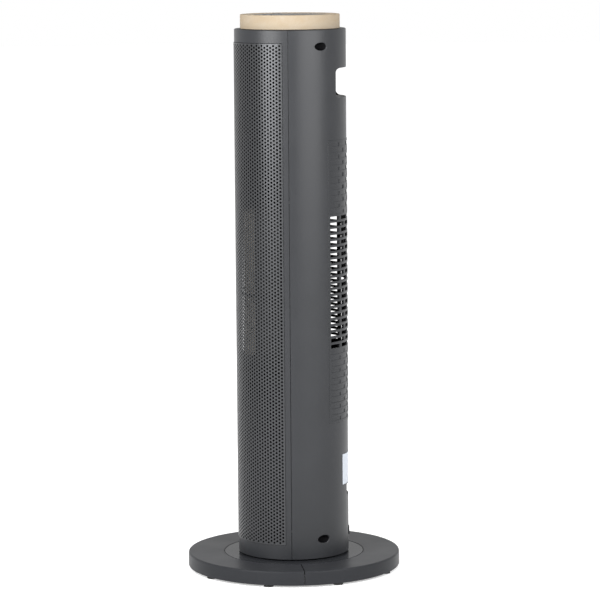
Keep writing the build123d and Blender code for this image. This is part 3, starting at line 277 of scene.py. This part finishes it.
def paleWood(name, look):
    # birch: wide wavering bands from pale to warm, and long fibres along X that darken it a little
    material, tree = startMaterial(name, Specular_IOR_Level=look["specular"])
    bands = grain(tree, objectPoint(tree, look["bandStretch"]), look["band"], detail=2,
                  distortion=look["waver"])
    fibres = grain(tree, objectPoint(tree, look["fibreStretch"]), look["fibre"], detail=4)
    tint = blendColours(tree, spread(tree, bands, 0, 1), look["pale"], look["warm"])
    shade = spread(tree, fibres, 0, look["fibreShade"])
    colour = blendColours(tree, shade, tint, look["fibreTint"], "MULTIPLY")
    dress(tree, Base_Color=colour, Roughness=spread(tree, fibres, *look["roughness"]),
          Normal=dents(tree, fibres, look["depth"]))
    return material


materials["wood"] = paleWood("wood", woodLook)

boardLook = dict(mask=((0.012, 0.09, 0.035, 1), (0.016, 0.11, 0.045, 1)), track=(0.03, 0.17, 0.07, 1),
                 density=260.0, roughness=0.35, depth=0.03 * mm)


def circuitBoard(name, look):
    # green solder mask with faint copper tracks under it
    material, tree = startMaterial(name, Roughness=look["roughness"])
    tracks = addNode(tree, "ShaderNodeTexBrick", Vector=objectPoint(tree), Scale=look["density"],
                     Color1=look["mask"][0], Color2=look["mask"][1], Mortar=look["track"])
    dress(tree, Base_Color=tracks.outputs["Color"], Normal=dents(tree, tracks.outputs["Fac"], look["depth"]))
    return material


materials["board"] = circuitBoard("board", boardLook)

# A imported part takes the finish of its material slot, unless it has one of its own
ownFinish = {"pivot_plate": "plate"}


def finishOf(node):
    return materials[ownFinish.get(node, slotOf[node])]


for node, part in frame["nodes"].items():
    for place in part.material_slots:
        place.material = finishOf(node)
print("finishes:", len(materials))


# Mesh tools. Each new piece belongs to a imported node, whose body, slot and finish it takes.

def finishPiece(name, mesh, node, sharp):
    # smooth faces, with edges sharp above an angle
    mesh.polygons.foreach_set("use_smooth", np.ones(len(mesh.polygons), dtype=bool))
    mesh.set_sharp_from_angle(angle=math.radians(sharp))
    mesh.materials.clear()
    mesh.materials.append(finishOf(node))
    piece = bpy.data.objects.new(name, mesh)
    bpy.context.scene.collection.objects.link(piece)
    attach(piece, bodyOf[node])
    return piece


def meshPiece(name, points, faceGroups, node, sharp):
    # one mesh from an (n, 3) array of points and arrays of faces, each array with its own count of sides
    mesh = bpy.data.meshes.new(name)
    mesh.vertices.add(len(points))
    mesh.vertices.foreach_set("co", np.asarray(points, dtype=np.float32).ravel())
    corners = np.concatenate([group.ravel() for group in faceGroups])
    sides = np.concatenate([np.full(len(group), group.shape[1]) for group in faceGroups])
    starts = np.concatenate([[0], np.cumsum(sides)[:-1]])
    mesh.loops.add(len(corners))
    mesh.loops.foreach_set("vertex_index", corners.astype(np.int32))
    mesh.polygons.add(len(sides))
    mesh.polygons.foreach_set("loop_start", starts.astype(np.int32))
    mesh.update(calc_edges=True)
    mesh.validate()
    return finishPiece(name, mesh, node, sharp)


def roundEdges(piece, width, angle):
    # a bevel on every edge that is sharper than an angle
    bevel = piece.modifiers.new("edges", "BEVEL")
    bevel.width = width
    bevel.segments = 2
    bevel.limit_method = "ANGLE"
    bevel.angle_limit = math.radians(angle)
    bevel.use_clamp_overlap = False
    bevel.harden_normals = True
    return bevel


def onCylinder(radius, angle, height):
    # the point at radius r, angle a and height z is (r cos a, r sin a, z)
    turn = np.radians(angle)
    return np.stack(np.broadcast_arrays(radius * np.cos(turn), radius * np.sin(turn), height), axis=-1)


def gridFaces(rows, columns, first=0, closeRows=False, closeColumns=False):
    # a quad between neighbours on a grid of points; closed, the grid's last line is joined to its first
    index = np.arange(rows * columns).reshape(rows, columns) + first
    if closeRows:
        index = np.concatenate([index, index[:1]], axis=0)
    if closeColumns:
        index = np.concatenate([index, index[:, :1]], axis=1)
    return np.stack([index[:-1, :-1], index[:-1, 1:], index[1:, 1:], index[1:, :-1]], axis=-1).reshape(-1, 4)


def roundedOutline(corners, radii, steps=5):
    # Closed (r, z) outline with rounded corners. From S before a corner C to E after it, both one radius
    # away, it runs along (1 - t)^2 S + 2 t (1 - t) C + t^2 E, with t from 0 to 1.
    corners, radii = np.asarray(corners, float), np.asarray(radii, float)[:, None]
    before = np.roll(corners, 1, axis=0) - corners
    after = np.roll(corners, -1, axis=0) - corners
    start = corners + radii * before / np.linalg.norm(before, axis=1, keepdims=True)
    end = corners + radii * after / np.linalg.norm(after, axis=1, keepdims=True)
    t = np.linspace(0, 1, steps)[None, :, None]
    curves = (1 - t) ** 2 * start[:, None] + 2 * t * (1 - t) * corners[:, None] + t ** 2 * end[:, None]
    return curves.reshape(-1, 2)


def turnedPiece(name, outline, sides, node, centres=((0, 0),), sharp=50):
    # closed ring about each centre (x, y): (x + r cos a, y + r sin a, z) for each (r, z) of the outline
    ring = onCylinder(outline[:, :1], np.arange(sides) * 360 / sides, outline[:, 1:])
    shift = np.array([(x, y, 0) for x, y in centres])[:, None, None]
    faces = gridFaces(len(outline), sides, closeRows=True, closeColumns=True)
    firsts = (np.arange(len(centres)) * len(outline) * sides)[:, None, None]
    return meshPiece(name, (ring + shift).reshape(-1, 3), [(faces + firsts).reshape(-1, 4)], node, sharp)


def pointsOf(mesh):
    # the mesh's points as an (n, 3) array
    points = np.empty(3 * len(mesh.vertices), dtype=np.float32)
    mesh.vertices.foreach_get("co", points)
    return points.reshape(-1, 3)


# Edges of the mouldings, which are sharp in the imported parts

softEdges = {
    # width of the rounding
    "base_front_half": 1.1 * mm, "base_rear_half": 1.1 * mm, "pivot_plate": 0.4 * mm,
    "front_shell": 0.5 * mm, "rear_shell": 0.5 * mm, "grip_cup": 0.4 * mm, "control_panel": 0.25 * mm,
    "switch_bezel": 0.3 * mm, "switch_rocker": 0.25 * mm, "cord_bush": 0.3 * mm, "timer_key": 0.45 * mm,
    "minus_key": 0.45 * mm, "power_key": 0.45 * mm, "plus_key": 0.45 * mm, "mode_key": 0.45 * mm,
}
softening = dict(merge=0.002 * mm, flat=0.4, sharp=32, seamWidth=0.4 * mm,
                 seamed=("base_front_half", "base_rear_half"))
field = dict(proud=0.5 * mm, floor=0.03 * mm)  # heights over the wall: the field's top, and its slots' floor


def soften(node, width):
    # a copy of the node with its doubles merged, its flat faces joined and its edges rounded by a bevel
    mesh = frame["nodes"][node].data.copy()
    worked = bmesh.new()
    worked.from_mesh(mesh)
    bmesh.ops.remove_doubles(worked, verts=worked.verts, dist=softening["merge"])
    bmesh.ops.dissolve_limit(worked, angle_limit=math.radians(softening["flat"]), verts=worked.verts,
                             edges=worked.edges)
    worked.to_mesh(mesh)
    worked.free()
    for name in [a.name for a in mesh.attributes if "normal" in a.name or a.name == "sharp_face"]:
        mesh.attributes.remove(mesh.attributes[name])
    if node == "rear_shell":
        sinkField(mesh)
    piece = finishPiece(node + "Soft", mesh, node, softening["sharp"])
    bevel = roundEdges(piece, width, softening["sharp"])
    if node in softening["seamed"]:
        bevel.limit_method = "WEIGHT"
        weighEdges(mesh)
    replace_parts(piece, node)


def sinkField(mesh):
    # the raised field of the back goes down to the radius R + floor, because a finer skin lies on the wall R
    points = pointsOf(mesh)
    radius = np.hypot(points[:, 0], points[:, 1])
    wall = radius.max() - field["proud"]
    raised = radius > wall + field["proud"] / 2
    points[raised, :2] *= ((wall + field["floor"]) / radius[raised])[:, None]
    mesh.vertices.foreach_set("co", points.ravel())
    mesh.update()


def weighEdges(mesh):
    # bevel weight 1 on sharp edges, but 0 on those in the seam, where |y cos t - x sin t| is next to nothing
    points = pointsOf(mesh)
    ends = np.empty(2 * len(mesh.edges), dtype=np.int32)
    mesh.edges.foreach_get("vertices", ends)
    sharp = np.empty(len(mesh.edges), dtype=bool)
    mesh.edges.foreach_get("use_edge_sharp", sharp)
    turn = math.radians(footTurn)
    across = np.abs(points[:, 1] * math.cos(turn) - points[:, 0] * math.sin(turn))
    inSeam = (across[ends.reshape(-1, 2)] < softening["seamWidth"]).all(axis=1)
    weights = mesh.attributes.new("bevel_weight_edge", "FLOAT", "EDGE")
    weights.data.foreach_set("value", (sharp & ~inSeam).astype(np.float32))


for node, width in softEdges.items():
    soften(node, width)
print("rounded edges:", len(softEdges))


# Slotted field of the back: a thin skin with every row of slots, laid like bricks

intake = dict(rows=46, pitch=6.84 * mm, height=4.2 * mm, halfAngle=45.8, border=2.64 * mm,
              joints=((-29.1, -9.7, 9.7, 29.1), (-19.4, 0.0, 19.4)), jointAngle=3.2, first=173.5 * mm,
              step=3.3, lips=0.2 * mm, sharp=40, lipAngle=50)


def slotLines():
    # angles of the grid: the sides of the slots and of the field, and steps between those that lie far apart
    half = intake["halfAngle"] + math.degrees(intake["border"] / towerRadius)
    edges = {-half, half, -intake["halfAngle"], intake["halfAngle"]}
    for joint in intake["joints"][0] + intake["joints"][1]:
        edges |= {joint - intake["jointAngle"] / 2, joint + intake["jointAngle"] / 2}
    edges = np.array(sorted(edges))
    counts = np.ceil(np.diff(edges) / intake["step"]).astype(int)
    steps = [np.linspace(start, end, count, endpoint=False)
             for start, end, count in zip(edges[:-1], edges[1:], counts)]
    return np.concatenate(steps + [edges[-1:]]) + back


def slotLevels():
    # heights of the grid: the lower and upper side of each row, and the field's own
    starts = intake["first"] + intake["pitch"] * np.arange(intake["rows"])
    levels = np.stack([starts, starts + intake["height"]], axis=1).ravel()
    return np.concatenate([[levels[0] - intake["border"]], levels, [levels[-1] + intake["border"]]])


def slotMask(lines, row):
    # For each cell between two angle lines, whether it lies in a slot of this row. The rows take turns with
    # two sets of joints between their slots, counted from the nearer end of the field.
    middle = (lines[:-1] + lines[1:]) / 2 - back
    inside = np.abs(middle) < intake["halfAngle"]
    for joint in intake["joints"][min(row, intake["rows"] - 1 - row) % 2]:
        inside &= np.abs(middle - joint) > intake["jointAngle"] / 2
    return inside


def makeIntake():
    # Sheet between the radii R + floor / 2 and R + proud, on a grid of angles and heights. Its cells are
    # open where the mask says so, and a wall stands between a solid cell and an open one.
    lines, levels = slotLines(), slotLevels()
    hole = np.zeros((len(levels) - 1, len(lines) - 1), dtype=bool)
    hole[1:-1:2] = [slotMask(lines, row) for row in range(intake["rows"])]
    height, angle = np.meshgrid(levels, lines, indexing="ij")
    inner, outer = towerRadius + field["floor"] / 2, towerRadius + field["proud"]
    points = np.concatenate([onCylinder(outer, angle, height).reshape(-1, 3),
                             onCylinder(inner, angle, height).reshape(-1, 3)])
    count = angle.size
    index = np.arange(count).reshape(angle.shape)
    rows, columns = np.nonzero(~hole)
    skin = np.stack([index[rows, columns], index[rows, columns + 1], index[rows + 1, columns + 1],
                     index[rows + 1, columns]], axis=-1)
    # grid lines and levels on which solid cells begin or end
    solid = np.pad(~hole, 1)
    aside, above = solid[1:-1], solid[:, 1:-1]
    leftRow, leftLine = np.nonzero(aside[:, 1:] & ~aside[:, :-1])
    rightRow, rightLine = np.nonzero(~aside[:, 1:] & aside[:, :-1])
    lowLevel, lowColumn = np.nonzero(above[1:] & ~above[:-1])
    highLevel, highColumn = np.nonzero(~above[1:] & above[:-1])
    starts = np.concatenate([index[leftRow + 1, leftLine], index[rightRow, rightLine],
                             index[lowLevel, lowColumn], index[highLevel, highColumn + 1]])
    ends = np.concatenate([index[leftRow, leftLine], index[rightRow + 1, rightLine],
                           index[lowLevel, lowColumn + 1], index[highLevel, highColumn]])
    walls = np.stack([ends, starts, starts + count, ends + count], axis=-1)
    faces = [skin, (skin + count)[:, ::-1], walls]
    piece = meshPiece("intakeSkin", points, faces, "rear_shell", intake["sharp"])
    roundEdges(piece, intake["lips"], intake["lipAngle"])
    print("intake:", intake["rows"], "rows,", int(hole.sum()), "open cells")


makeIntake()


# Perforated grille

grille = dict(columns=52, rows=139, sideMargin=2.58, endMargin=2.3 * mm, holeRadius=1.3 * mm, holeSides=12,
              halfAngle=82.5, thickness=0.8 * mm, strips=3, sharp=35)


def grilleStrip(name, lines, levels, firstColumn, columns, outer):
    # Perforated sheet on a cylinder. lines are the angles of the columns' sides, and levels are heights half
    # a row apart. In column c and row k, a hole has its middle at level 2 k + 2, or one higher where c is
    # odd, so that columns are staggered. Its rim is (middle angle + h cos t / R, middle height + h sin t).
    grid = np.arange(len(lines) * len(levels)).reshape(len(lines), len(levels))
    angle, height = np.meshgrid(lines, levels, indexing="ij")
    border = 1 if firstColumn == 0 else 0  # the first strip starts with a plain border column
    odd = (np.arange(columns) + firstColumn) % 2
    column, row = np.meshgrid(np.arange(columns), np.arange(grille["rows"]), indexing="ij")
    middle = (2 * row + 2 + odd[:, None]).ravel()
    left = (column + border).ravel()
    right = left + 1
    cell = np.stack([grid[right, middle], grid[right, middle + 1], grid[left, middle + 1],
                     grid[left, middle], grid[left, middle - 1], grid[right, middle - 1]], axis=-1)
    turn = np.arange(grille["holeSides"]) * 2 * np.pi / grille["holeSides"]
    across, along = grille["holeRadius"] * np.cos(turn), grille["holeRadius"] * np.sin(turn)
    holeAngle = ((lines[left] + lines[right]) / 2)[:, None] + np.degrees(across / outer)
    holeHeight = levels[middle][:, None] + along
    ring = np.arange(holeAngle.size).reshape(holeAngle.shape) + grid.size
    flatAngle = np.concatenate([angle.ravel(), holeAngle.ravel()])
    flatHeight = np.concatenate([height.ravel(), holeHeight.ravel()])
    count = len(flatAngle)
    points = np.concatenate([onCylinder(outer, flatAngle, flatHeight),
                             onCylinder(outer - grille["thickness"], flatAngle, flatHeight)])
    # round each hole, a five-sided face from each side of its cell to two sides of its rim
    ring = np.concatenate([ring, ring[:, :1]], axis=1)
    cell = np.concatenate([cell, cell[:, :1]], axis=1)
    webs = np.concatenate([np.stack([cell[:, i], cell[:, i + 1], ring[:, 2 * i + 2], ring[:, 2 * i + 1],
                                     ring[:, 2 * i]], axis=-1) for i in range(6)])
    # plain quads along the sheet's edges, and in the half cell at one end of each column
    plain = np.zeros((len(lines) - 1, len(levels) - 1), dtype=bool)
    plain[:, [0, -1]] = True
    plain[:border] = True
    plain[border + columns:] = True
    places = np.arange(columns) + border
    plain[places[odd == 1], 1] = True
    plain[places[odd == 0], -2] = True
    line, level = np.nonzero(plain)
    quads = np.stack([grid[line, level], grid[line + 1, level], grid[line + 1, level + 1],
                      grid[line, level + 1]], axis=-1)
    # walls in the holes and round the strip
    bores = np.stack([ring[:, :-1], ring[:, 1:], ring[:, 1:] + count, ring[:, :-1] + count], axis=-1)
    outline = np.concatenate([grid[:, 0], grid[-1, 1:], grid[-2::-1, -1], grid[0, -2::-1]])
    sides = np.stack([outline[1:], outline[:-1], outline[:-1] + count, outline[1:] + count], axis=-1)
    faces = [webs, quads, (webs + count)[:, ::-1], (quads + count)[:, ::-1], bores.reshape(-1, 4), sides]
    return meshPiece(name, points, faces, "front_grille", grille["sharp"])


def makeGrille():
    # columns at even angles and rows at even heights within the sheet's margins, cut into strips
    low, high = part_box("front_grille")
    count, rows = grille["columns"], grille["rows"]
    lastMiddle = grille["halfAngle"] - grille["sideMargin"]
    step = 2 * lastMiddle / (count - 1)
    edges = front - lastMiddle - step / 2 + step * np.arange(count + 1)
    pitch = (high.z - low.z - 2 * grille["endMargin"]) / (rows - 0.5)
    first = low.z + grille["endMargin"] - pitch / 2
    levels = np.concatenate([[low.z], first + pitch / 2 * np.arange(2 * rows + 2), [high.z]])
    breaks = np.linspace(0, count, grille["strips"] + 1).astype(int)
    for number, (start, stop) in enumerate(zip(breaks[:-1], breaks[1:]), 1):
        lines = edges[start:stop + 1]
        if start == 0:
            lines = np.concatenate([[front - grille["halfAngle"]], lines])
        if stop == count:
            lines = np.concatenate([lines, [front + grille["halfAngle"]]])
        strip = grilleStrip(f"grilleStrip{number}", lines, levels, start, stop - start, -low.y)
        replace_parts(strip, "front_grille")
    print("grille:", count * rows, "holes in", grille["strips"], "strips")


makeGrille()


# Wooden ring with eased edges, and the round rubber feet

wood = dict(bore=43.4 * mm, sides=144, edges=(0.3 * mm, 0.7 * mm, 1.1 * mm, 0.7 * mm))
pads = dict(radius=5.5 * mm, bore=1.0 * mm, circle=113.0 * mm, sides=40,
            edges=(0.125 * mm, 0.5 * mm, 0.125 * mm, 0.125 * mm),
            angles=(20.0, 60.0, 120.0, 160.0, 200.0, 240.0, 300.0, 340.0))


def ringOutline(bore, radius, low, high, edges):
    # outline of a ring, from its bore's foot outwards, with each corner rounded by its own edge
    return roundedOutline([(bore, low), (radius, low), (radius, high), (bore, high)], edges)


def makeWood():
    low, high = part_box("wood_cap")
    outline = ringOutline(wood["bore"], high.x, low.z, high.z, wood["edges"])
    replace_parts(turnedPiece("woodRing", outline, wood["sides"], "wood_cap"), "wood_cap")


def makePads():
    low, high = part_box("base_feet")
    outline = ringOutline(pads["bore"], pads["radius"], low.z, high.z, pads["edges"])
    centres = onCylinder(pads["circle"], np.array(pads["angles"]) + footTurn, 0)[:, :2]
    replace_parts(turnedPiece("feet", outline, pads["sides"], "base_feet", centres), "base_feet")


makeWood()
makePads()
print("wooden ring and feet")


# Floor, lights and camera

floorLook = dict(rings=(0.2, 0.6, 1.5, 4.0, 14.0), sides=96, colour=(0.82, 0.82, 0.82), roughness=0.9,
                 specular=0.1, glow=(0.45, 0.8), reach=(0.3, 1.6))
world = dict(glow=1.0, fill=0.35)
lights = {
    # turn is counted from the camera, middle is the height, and aim is the height on the axis that it faces
    "leftPanel": dict(turn=-40, distance=1.5, width=0.95, height=1.3, middle=1.04, aim=1.04, radiance=11.0),
    "rightPanel": dict(turn=41, distance=1.5, width=1.35, height=1.3, middle=1.02, aim=1.02, radiance=6.2),
    "topPanel": dict(turn=0, distance=0.0, width=2.4, height=2.4, middle=2.6, aim=0.0, radiance=0.8),
}
viewpoint = dict(distance=3.3418, turn=0.7298, height=0.7341, pitch=7.3181, yaw=-0.1552, roll=-0.4313,
                 lens=178.997, sensor=36)


def seenDirectly(tree):
    # 1 for camera, glossy and transmission rays, else 0
    path = addNode(tree, "ShaderNodeLightPath").outputs
    seen = calculate(tree, "MAXIMUM", path["Is Camera Ray"], path["Is Glossy Ray"])
    return calculate(tree, "MAXIMUM", seen, path["Is Transmission Ray"])


def makeFloor():
    # disc of rings (r cos a, r sin a, 0) round a fan; where it is seen, it glows more towards its rim
    sides = floorLook["sides"]
    rings = np.array(floorLook["rings"])[:, None]
    around = onCylinder(rings, np.arange(sides) * 360 / sides, 0).reshape(-1, 3)
    points = np.concatenate([[[0, 0, 0]], around])
    quads = gridFaces(len(rings), sides, first=1, closeColumns=True)[:, ::-1]
    inner = np.arange(sides)
    fan = np.stack([np.zeros(sides, dtype=int), inner + 1, (inner + 1) % sides + 1], axis=-1)
    mesh = bpy.data.meshes.new("floor")
    mesh.from_pydata(points.tolist(), [], quads.tolist() + fan.tolist())
    floor = bpy.data.objects.new("floor", mesh)
    bpy.context.scene.collection.objects.link(floor)
    material, tree = startMaterial("floor", Base_Color=floorLook["colour"], Roughness=floorLook["roughness"],
                                   Specular_IOR_Level=floorLook["specular"], Emission_Color=(1, 1, 1))
    away = vectorNode(tree, "LENGTH", objectPoint(tree)).outputs["Value"]
    glow = spread(tree, away, *floorLook["glow"], *floorLook["reach"])
    dress(tree, Emission_Strength=calculate(tree, "MULTIPLY", seenDirectly(tree), glow))
    mesh.materials.append(material)


def makeWorld():
    # white all round where it is seen, and weaker where it lights
    studio = bpy.data.worlds.new("studio")
    bpy.context.scene.world = studio
    studio.use_nodes = True
    tree = studio.node_tree
    background = tree.nodes["Background"]
    background.inputs["Color"].default_value = (1, 1, 1, 1)
    strength = spread(tree, seenDirectly(tree), world["fill"], world["glow"], 0, 1)
    setInput(tree, background.inputs["Strength"], strength)


def makeLights():
    # rectangular panels that face the axis, with power = radiance x pi x width x height
    for name, spec in lights.items():
        data = bpy.data.lights.new(name, "AREA")
        data.shape = "RECTANGLE"
        data.size, data.size_y = spec["width"], spec["height"]
        data.energy = spec["radiance"] * math.pi * spec["width"] * spec["height"]
        item = bpy.data.objects.new(name, data)
        bpy.context.scene.collection.objects.link(item)
        turn = math.radians(viewpoint["turn"] + spec["turn"])
        away = spec["distance"]
        item.location = (away * math.cos(turn), away * math.sin(turn), spec["middle"])
        heading = Vector((0, 0, spec["aim"])) - item.location
        item.rotation_euler = heading.to_track_quat("-Z", "Y").to_euler()
        item.visible_camera = False


def makeCamera():
    # the camera faces the tower's axis, but for yaw; pitch tips it down, and roll turns its picture
    data = bpy.data.cameras.new("camera")
    data.lens = viewpoint["lens"]
    data.sensor_width = viewpoint["sensor"]
    item = bpy.data.objects.new("camera", data)
    bpy.context.scene.collection.objects.link(item)
    turn = math.radians(viewpoint["turn"])
    away = viewpoint["distance"]
    item.location = (away * math.cos(turn), away * math.sin(turn), viewpoint["height"])
    heading = turn + math.pi + math.radians(viewpoint["yaw"])
    pitch = math.radians(viewpoint["pitch"])
    level = math.cos(pitch)
    forward = Vector((math.cos(heading) * level, math.sin(heading) * level, -math.sin(pitch)))
    look = forward.to_track_quat("-Z", "Y").to_matrix()
    item.rotation_euler = (look @ Matrix.Rotation(math.radians(viewpoint["roll"]), 3, "Z")).to_euler()
    bpy.context.scene.camera = item


makeFloor()
makeWorld()
makeLights()
makeCamera()
bpy.context.scene.view_settings.view_transform = "Standard"
print("studio: floor, world,", len(lights), "lights and camera")
